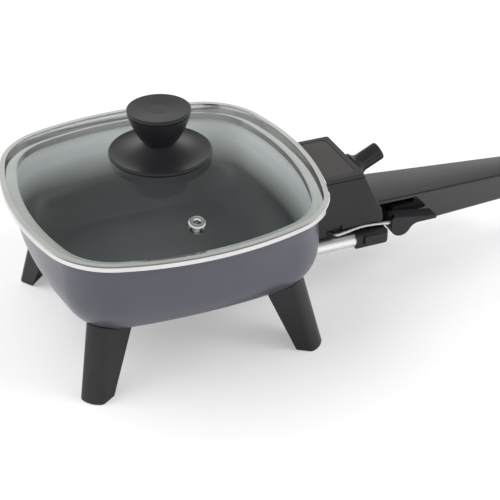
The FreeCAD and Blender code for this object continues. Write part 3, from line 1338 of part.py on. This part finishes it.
def push_rod():
    """Bent wire from the lever's slot over the arm's cap to the notch in the box's skirt."""
    crest_z = ARM_Z + CAP_HALF + ROD_OVER_CAP
    points = [
        Vec(ROD_LEVER_X, ROD_Y, ROD_LEVER_Z),
        Vec(CAP_END_X - 2.8, ROD_Y, crest_z - 1.2),
        Vec(CAP_END_X - 10.0, ROD_Y, crest_z - 0.3),
        Vec(CAP_START_X + 4.6, ROD_Y, crest_z),
        Vec(CAP_START_X - 2.4, ROD_Y - 0.3, crest_z - 0.7),
        Vec(ROD_TIP_X, ROD_TIP_Y, ROD_TIP_Z),
        Vec(ROD_TIP_X - 1.8, ROD_TAIL_Y, ROD_TIP_Z + 0.2),
    ]
    edges = []
    start = points[0]
    for here, after, before in zip(points[1:-1], points[2:], points[:-2]):
        into = here.sub(before)
        out = after.sub(here)
        reach = 0.42 * min(into.Length, out.Length)
        into.normalize()
        out.normalize()
        first = here - into * reach
        last = here + out * reach
        half_turn = math.acos(max(-1.0, min(1.0, into.dot(out)))) / 2.0
        radius = reach / math.tan(half_turn)
        inward = (out - into).normalize()
        middle = here + inward * (radius / math.cos(half_turn) - radius)
        edges.append(Part.LineSegment(start, first).toShape())
        edges.append(Part.Arc(first, middle, last).toShape())
        start = last
    edges.append(Part.LineSegment(start, points[-1]).toShape())
    path = Part.Wire(edges)
    ring = Part.Wire(Part.makeCircle(ROD_R, points[0], points[1].sub(points[0])))
    return path.makePipeShell([ring], True, False)


# Write the parts

save("pan", pan())
save("heating_element", element_form())
save("terminal_pins", terminal_pins())
save("insulator_beads", insulator_beads())
save("terminal_guard", terminal_guard())
save("guard_arm_front", guard_arm(-1))
save("guard_arm_rear", guard_arm(1))
save("arm_cap_front", arm_cap(-1))
save("arm_cap_rear", arm_cap(1))
save("arm_screws", Part.makeCompound(arm_screw_list()))
for corner_name, corner_index in (("rear_right", 0), ("rear_left", 1), ("front_left", 2), ("front_right", 3)):
    save("leg_" + corner_name, leg(corner_index))
save("leg_screws", Part.makeCompound(leg_screw_list()))

save("lid_glass", lid_glass())
save("lid_band", lid_band())
save("steam_vent", steam_vent())
save("lid_knob", lid_knob())
save("lid_knob_cap", lid_knob_cap())
save("lid_screw", lid_screw())
save("knob_gasket", knob_gasket())
save("inner_washer", inner_washer())

save("control_box", control_box())
save("control_box_cover", control_box_cover())
save("top_panel", top_panel())
save("box_screws", Part.makeCompound(box_screw_list()))
save("thermostat", thermostat())
save("dial_shaft", dial_shaft())
save("thermostat_knob", thermostat_knob())
save("terminal_block", terminal_block())
save("contact_sleeves", contact_sleeves())
save("temperature_probe", temperature_probe())
save("cord_bush", cord_bush())

save("handle_top", handle_top())
save("handle_lower", handle_lower())
save("handle_screws", Part.makeCompound(handle_screw_list() + [neck_screw()]))
save("release_lever", release_lever())
save("lever_pin", lever_pin())
save("lever_spring", lever_spring())
save("push_rod", push_rod())
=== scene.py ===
import json
import math

import bpy
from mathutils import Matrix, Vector


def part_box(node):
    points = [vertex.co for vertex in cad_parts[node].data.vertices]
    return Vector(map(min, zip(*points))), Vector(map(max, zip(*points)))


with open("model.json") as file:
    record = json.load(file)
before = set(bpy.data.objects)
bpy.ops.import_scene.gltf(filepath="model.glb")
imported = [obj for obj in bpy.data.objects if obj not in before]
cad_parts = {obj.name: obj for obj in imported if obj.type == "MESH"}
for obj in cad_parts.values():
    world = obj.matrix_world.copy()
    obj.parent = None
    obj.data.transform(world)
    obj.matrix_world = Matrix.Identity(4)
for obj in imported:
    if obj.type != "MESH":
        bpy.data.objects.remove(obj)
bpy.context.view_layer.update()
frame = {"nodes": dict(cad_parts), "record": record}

# Lengths are in metres. The pan's middle and its rim's height are read from the CAD piece.
pan_low, pan_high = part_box("pan")
PAN_X = (pan_low.x + pan_high.x) / 2.0
RIM_Z = pan_high.z

# How the CAD meshes are joined and shaded
WELD_DISTANCE = 1e-6
SHARP_ANGLE = math.radians(32.0)
# The glass rests on the band's flange. Drawn this far above it, the two faces don't fight.
SEAT_CLEARANCE = 0.00003

# Part of a noise's range over which one colour turns into the other
BLEND_START = 0.3
BLEND_END = 0.7

# Moulded plastic: sizes of its mottling and uneven gloss, and strength of its grain
MOTTLE_SCALE = 35.0
GLOSS_SCALE = 90.0
GRAIN_STRENGTH = 0.25

# Metal: strength and depth of its fine lines
LINE_STRENGTH = 0.08
LINE_DEPTH = 0.00003

# Pan: a face is inside when it faces the point this far above the rim
INSIDE_POINT_RISE = 0.012
# Depths under the rim between which the inside coat turns from painted shade to a painted reflection of the
# room
PAINTED_SHADE_DEPTH = 0.045
PAINTED_REFLECTION_DEPTH = 0.004
# The inside coat's grey as painted shade deep down, and as a painted reflection near the rim
COAT_PAINTED_SHADE = (0.05, 0.053, 0.054)
COAT_PAINTED_REFLECTION = (0.76, 0.79, 0.79)
ENAMEL_LOW = (0.066, 0.067, 0.09)
ENAMEL_HIGH = (0.076, 0.077, 0.102)

# Glass: the colour of the light that passes it, and the tint that describes it
GLASS_IOR = 1.5
GLASS_CLEAR = (0.965, 0.98, 0.976, 1.0)
GLASS_TINT_LOW = (0.93, 0.965, 0.955)
GLASS_TINT_HIGH = (0.95, 0.975, 0.968)
GLASS_TINT_SCALE = 12.0

# World: strength of its light on the object
SKY_STRENGTH = 0.45
# Sines of the elevation between which the ceiling that only reflections show gets darker
CEILING_START = 0.3
CEILING_END = 0.75
CEILING_LEVEL = 0.3

# Floor: the camera sees this share of plain white in it near the object, which keeps the
# shadow, and plain white alone beyond the fade, where the lamps don't reach
FLOOR_HALF = 4.0
FLOOR_WHITE_SHARE = 0.35
FLOOR_FADE_START = 0.55
FLOOR_FADE_END = 1.3

LIGHT_TARGET = (PAN_X, 0.0, 0.06)
HANDLE_TARGET = (0.1, -0.015, 0.05)

# Camera at the photograph's place
CAMERA_PLACE = (-0.30245, -0.66468, 0.48943)
CAMERA_ELEVATION = math.radians(32.56)
CAMERA_AZIMUTH = math.radians(-22.79)
CAMERA_LENS_MM = 101.52
SENSOR_MM = 36.0
CAMERA_CLIP = 0.01


class Nodes:
    """A node tree with short calls for the few nodes used here."""

    def __init__(self, tree):
        self.tree = tree

    def node(self, kind, **inputs):
        made = self.tree.nodes.new(kind)
        for name, value in inputs.items():
            made.inputs[name.replace("_", " ")].default_value = value
        return made

    def link(self, start, end):
        self.tree.links.new(start, end)

    def math(self, operation, first, second, kind="ShaderNodeMath"):
        """Node of an operation on two inputs, each a number, a vector or an output to link."""
        made = self.node(kind)
        made.operation = operation
        for slot, value in enumerate((first, second)):
            if isinstance(value, bpy.types.NodeSocket):
                self.link(value, made.inputs[slot])
            else:
                made.inputs[slot].default_value = value
        return made

    def ranged(self, value, start, end, low, high):
        """Number that runs from low to high as the value goes from start to end."""
        made = self.node("ShaderNodeMapRange", From_Min=start, From_Max=end, To_Min=low, To_Max=high)
        self.link(value, made.inputs["Value"])
        return made

    def mix_shaders(self, factor, first, second):
        made = self.node("ShaderNodeMixShader")
        self.link(factor, made.inputs["Fac"])
        self.link(first, made.inputs[1])
        self.link(second, made.inputs[2])
        return made.outputs["Shader"]


class Surface(Nodes):
    """A material's node tree."""

    def __init__(self, name):
        self.material = bpy.data.materials.new(name)
        self.material.use_nodes = True
        super().__init__(self.material.node_tree)
        self.shader = self.tree.nodes["Principled BSDF"]
        self.output = self.tree.nodes["Material Output"]

    def set(self, **values):
        for name, value in values.items():
            self.shader.inputs[name.replace("_", " ")].default_value = value

    def place(self):
        return self.node("ShaderNodeTexCoord").outputs["Object"]

    def noise(self, scale, detail=3.0, stretch=(1.0, 1.0, 1.0)):
        mapping = self.node("ShaderNodeMapping", Scale=stretch)
        self.link(self.place(), mapping.inputs["Vector"])
        noise = self.node("ShaderNodeTexNoise", Scale=scale, Detail=detail)
        self.link(mapping.outputs["Vector"], noise.inputs["Vector"])
        return noise.outputs["Fac"]

    def blend(self, factor, low, high):
        """Colour that runs between two colours over the middle of the factor's range."""
        ramp = self.node("ShaderNodeValToRGB")
        start, end = ramp.color_ramp.elements
        start.position = BLEND_START
        end.position = BLEND_END
        start.color = (*low, 1.0)
        end.color = (*high, 1.0)
        self.link(factor, ramp.inputs["Fac"])
        return ramp.outputs["Color"]

    def paint(self, colour):
        self.link(colour, self.shader.inputs["Base Color"])

    def roughen(self, factor, low, high):
        """Roughness that runs between two values over the factor's whole range."""
        self.link(self.ranged(factor, 0.0, 1.0, low, high).outputs["Result"], self.shader.inputs["Roughness"])

    def bump(self, height, strength, distance):
        bump = self.node("ShaderNodeBump", Strength=strength, Distance=distance)
        self.link(height, bump.inputs["Height"])
        self.link(bump.outputs["Normal"], self.shader.inputs["Normal"])


def moulded(name, low, high, rough, grain_scale, grain_depth, spread=0.05, shine=0.35):
    """Plastic with faint mottling, uneven gloss and a fine moulded grain."""
    made = Surface(name)
    made.paint(made.blend(made.noise(MOTTLE_SCALE), low, high))
    made.roughen(made.noise(GLOSS_SCALE), rough - spread, rough + spread)
    made.bump(made.noise(grain_scale, 2.0), GRAIN_STRENGTH, grain_depth)
    made.set(Specular_IOR_Level=shine)
    return made.material


def metal(name, low, high, rough, scale, stretch=(1.0, 1.0, 1.0), spread=0.05):
    """Steel whose fine lines run along the least stretched direction."""
    made = Surface(name)
    made.set(Metallic=1.0)
    lines = made.noise(scale, 4.0, stretch)
    made.paint(made.blend(lines, low, high))
    made.roughen(lines, rough - spread, rough + spread)
    made.bump(lines, LINE_STRENGTH, LINE_DEPTH)
    return made.material


def pan_coating():
    """Dark grey-violet enamel outside and a grey non-stick coat inside, with painted shade deep in the pan
    and a painted reflection near the rim.
    """
    made = Surface("pan_enamel")
    geometry = made.node("ShaderNodeNewGeometry")
    inside_point = (PAN_X, 0.0, RIM_Z + INSIDE_POINT_RISE)
    inward = made.math("SUBTRACT", inside_point, made.place(), "ShaderNodeVectorMath")
    facing = made.math(
        "DOT_PRODUCT", geometry.outputs["True Normal"], inward.outputs["Vector"], "ShaderNodeVectorMath",
    )
    inside = made.math("GREATER_THAN", facing.outputs["Value"], 0.0)

    height = made.node("ShaderNodeSeparateXYZ")
    made.link(made.place(), height.inputs["Vector"])
    # Painted light: the coat is darker deeper in the pan as painted shade and paler towards the rim as a
    # painted reflection
    painted_light_share = made.ranged(height.outputs["Z"], RIM_Z - PAINTED_SHADE_DEPTH, RIM_Z - PAINTED_REFLECTION_DEPTH, 0.0, 1.0)
    coat_with_painted_light = made.blend(painted_light_share.outputs["Result"], COAT_PAINTED_SHADE, COAT_PAINTED_REFLECTION)
    enamel = made.blend(made.noise(28.0), ENAMEL_LOW, ENAMEL_HIGH)

    mix = made.node("ShaderNodeMix")
    mix.data_type = "RGBA"
    # A mix node keeps its sockets for numbers and vectors too; those for colours are 6, 7 and 2
    made.link(inside.outputs["Value"], mix.inputs["Factor"])
    made.link(enamel, mix.inputs[6])
    made.link(coat_with_painted_light, mix.inputs[7])
    made.paint(mix.outputs[2])
    made.roughen(made.noise(60.0), 0.27, 0.34)
    made.bump(made.noise(420.0, 2.0), 0.03, 0.00003)
    made.set(Coat_Weight=0.25, Coat_Roughness=0.12)
    return made.material


def clear_glass():
    """Thin clear glass: it reflects more at the edges and barely tints what is behind it."""
    made = Surface("clear_glass")
    # The first shader isn't linked here: it describes the glass to a program that reads it alone
    made.set(Roughness=0.02, IOR=GLASS_IOR, Transmission_Weight=1.0)
    made.paint(made.blend(made.noise(GLASS_TINT_SCALE), GLASS_TINT_LOW, GLASS_TINT_HIGH))
    through = made.node("ShaderNodeBsdfTransparent", Color=GLASS_CLEAR)
    gloss = made.node("ShaderNodeBsdfGlossy", Roughness=0.0)

    # From inside the glass the Fresnel share would be total, and the pan would turn black
    fresnel = made.node("ShaderNodeFresnel", IOR=GLASS_IOR)
    geometry = made.node("ShaderNodeNewGeometry")
    front = made.math("SUBTRACT", 1.0, geometry.outputs["Backfacing"])
    share = made.math("MULTIPLY", fresnel.outputs["Fac"], front.outputs["Value"])
    glass = made.mix_shaders(share.outputs["Value"], through.outputs["BSDF"], gloss.outputs["BSDF"])
    made.link(glass, made.output.inputs["Surface"])
    return made.material


def floor_white():
    """Matt white floor, of which the camera sees more plain white the further it is."""
    made = Surface("floor_white")
    made.set(Base_Color=(0.93, 0.93, 0.935, 1.0), Roughness=0.9, Specular_IOR_Level=0.0)
    distance = made.node("ShaderNodeVectorMath")
    distance.operation = "LENGTH"
    made.link(made.place(), distance.inputs[0])
    fade = made.ranged(distance.outputs["Value"], FLOOR_FADE_START, FLOOR_FADE_END, FLOOR_WHITE_SHARE, 1.0)
    path = made.node("ShaderNodeLightPath")
    share = made.math("MULTIPLY", path.outputs["Is Camera Ray"], fade.outputs["Result"])
    white = made.node("ShaderNodeEmission", Strength=1.0)
    mixed = made.mix_shaders(share.outputs["Value"], made.shader.outputs["BSDF"], white.outputs["Emission"])
    made.link(mixed, made.output.inputs["Surface"])
    return made.material


def studio_world():
    """White background for the camera, reflections and transmission, and a dimmer light."""
    world = bpy.data.worlds.new("studio")
    world.use_nodes = True
    made = Nodes(world.node_tree)
    sky = made.tree.nodes["Background"]
    sky.inputs["Color"].default_value = (1.0, 1.0, 1.0, 1.0)
    sky.inputs["Strength"].default_value = SKY_STRENGTH

    path = made.node("ShaderNodeLightPath")
    direct = made.math("MAXIMUM", path.outputs["Is Camera Ray"], path.outputs["Is Transmission Ray"])
    seen = made.math("MAXIMUM", direct.outputs["Value"], path.outputs["Is Glossy Ray"])

    direction = made.node("ShaderNodeSeparateXYZ")
    made.link(made.node("ShaderNodeTexCoord").outputs["Generated"], direction.inputs["Vector"])
    ceiling = made.ranged(direction.outputs["Z"], CEILING_START, CEILING_END, 0.0, 1.0 - CEILING_LEVEL)
    ceiling.interpolation_type = "SMOOTHSTEP"
    darker = made.math("MULTIPLY", ceiling.outputs["Result"], path.outputs["Is Glossy Ray"])
    level = made.math("SUBTRACT", 1.0, darker.outputs["Value"])
    white = made.node("ShaderNodeBackground", Color=(1.0, 1.0, 1.0, 1.0))
    made.link(level.outputs["Value"], white.inputs["Strength"])

    background = made.mix_shaders(seen.outputs["Value"], sky.outputs[0], white.outputs["Background"])
    made.link(background, made.tree.nodes["World Output"].inputs["Surface"])
    return world


def add_to_scene(name, data, place=(0.0, 0.0, 0.0)):
    made = bpy.data.objects.new(name, data)
    made.location = place
    bpy.context.scene.collection.objects.link(made)
    return made


def area_light(name, place, target, size, power):
    """Rectangular lamp that reflections don't show."""
    data = bpy.data.lights.new(name, "AREA")
    data.shape = "RECTANGLE"
    data.size, data.size_y = size
    data.energy = power
    lamp = add_to_scene(name, data, place)
    lamp.rotation_euler = (Vector(target) - Vector(place)).to_track_quat("-Z", "Y").to_euler()
    lamp.visible_glossy = False


# Materials of the CAD pieces, by the slots that the record names

METALS = {
    "element_sheath": dict(low=(0.16, 0.15, 0.14), high=(0.24, 0.22, 0.2), rough=0.5, scale=150.0),
    "plated_steel": dict(low=(0.6, 0.6, 0.61), high=(0.68, 0.68, 0.68), rough=0.28, scale=260.0),
    "satin_tube": dict(
        low=(0.9, 0.9, 0.9), high=(0.96, 0.96, 0.95), rough=0.4, scale=900.0, stretch=(0.06, 1.0, 1.0),
    ),
    "polished_steel": dict(
        low=(0.66, 0.66, 0.645), high=(0.72, 0.72, 0.7), rough=0.1, scale=45.0, spread=0.02,
    ),
}
PLASTICS = {
    "ceramic": dict(
        low=(0.72, 0.7, 0.63), high=(0.8, 0.78, 0.72), rough=0.55, grain_scale=600.0, grain_depth=0.00005,
    ),
    "black_plastic": dict(
        low=(0.015, 0.015, 0.017), high=(0.021, 0.021, 0.023),
        rough=0.36, grain_scale=1500.0, grain_depth=0.00006,
    ),
    "gloss_black": dict(
        low=(0.012, 0.012, 0.014), high=(0.016, 0.016, 0.018),
        rough=0.1, grain_scale=500.0, grain_depth=0.00002, spread=0.03, shine=0.7,
    ),
    "panel_brown": dict(
        low=(0.028, 0.025, 0.024), high=(0.038, 0.033, 0.031),
        rough=0.32, grain_scale=1300.0, grain_depth=0.00005,
    ),
    "switch_body": dict(
        low=(0.25, 0.15, 0.08), high=(0.32, 0.2, 0.11), rough=0.5, grain_scale=500.0, grain_depth=0.00005,
    ),
    "black_rubber": dict(
        low=(0.014, 0.014, 0.014), high=(0.022, 0.022, 0.022),
        rough=0.62, grain_scale=900.0, grain_depth=0.00008,
    ),
}
materials = {"pan_enamel": pan_coating(), "clear_glass": clear_glass()}
for name, look in METALS.items():
    materials[name] = metal(name, **look)
for name, look in PLASTICS.items():
    materials[name] = moulded(name, **look)
slot_of = {part["node"]: part["material_slot"] for part in frame["record"]["subparts"]}

for name, piece in frame["nodes"].items():
    piece.data.materials.clear()
    piece.data.materials.append(materials[slot_of[name]])
    # The normals are made anew after the weld, which joins the mesh along the solid's edges
    imported_normals = piece.data.attributes.get("custom_normal")
    if imported_normals is not None:
        piece.data.attributes.remove(imported_normals)
    piece.data.shade_smooth()
    weld = piece.modifiers.new("weld", "WELD")
    weld.merge_threshold = WELD_DISTANCE
    split = piece.modifiers.new("sharp_edges", "EDGE_SPLIT")
    split.split_angle = SHARP_ANGLE
    split.use_edge_sharp = False
    piece.modifiers.new("even_normals", "WEIGHTED_NORMAL")

lifted = frame["nodes"]["lid_glass"].modifiers.new("seat_clearance", "DISPLACE")
lifted.direction = "Z"
lifted.mid_level = 0.0
lifted.strength = SEAT_CLEARANCE


# Studio and camera

bpy.context.scene.world = studio_world()

floor_mesh = bpy.data.meshes.new("floor")
floor_corners = [(-1, -1), (1, -1), (1, 1), (-1, 1)]
floor_mesh.from_pydata([(FLOOR_HALF * x, FLOOR_HALF * y, 0.0) for x, y in floor_corners], [], [(0, 1, 2, 3)])
floor = add_to_scene("floor", floor_mesh)
floor.data.materials.append(floor_white())

area_light("key", (-1.1, 0.3, 1.5), LIGHT_TARGET, size=(1.6, 1.6), power=24.0)
area_light("fill", (0.9, -1.3, 1.1), LIGHT_TARGET, size=(1.8, 1.4), power=8.0)
area_light("back", (0.3, 1.6, 1.2), LIGHT_TARGET, size=(1.8, 1.0), power=9.0)
area_light("side", (1.15, -0.7, 1.25), HANDLE_TARGET, size=(0.9, 0.6), power=9.0)

camera_data = bpy.data.cameras.new("camera")
camera_data.sensor_width = SENSOR_MM
camera_data.lens = CAMERA_LENS_MM
camera_data.clip_start = CAMERA_CLIP
camera = add_to_scene("camera", camera_data, CAMERA_PLACE)
camera.rotation_euler = (math.pi / 2.0 - CAMERA_ELEVATION, 0.0, CAMERA_AZIMUTH)
bpy.context.scene.camera = camera
bpy.context.scene.view_settings.view_transform = "Standard"
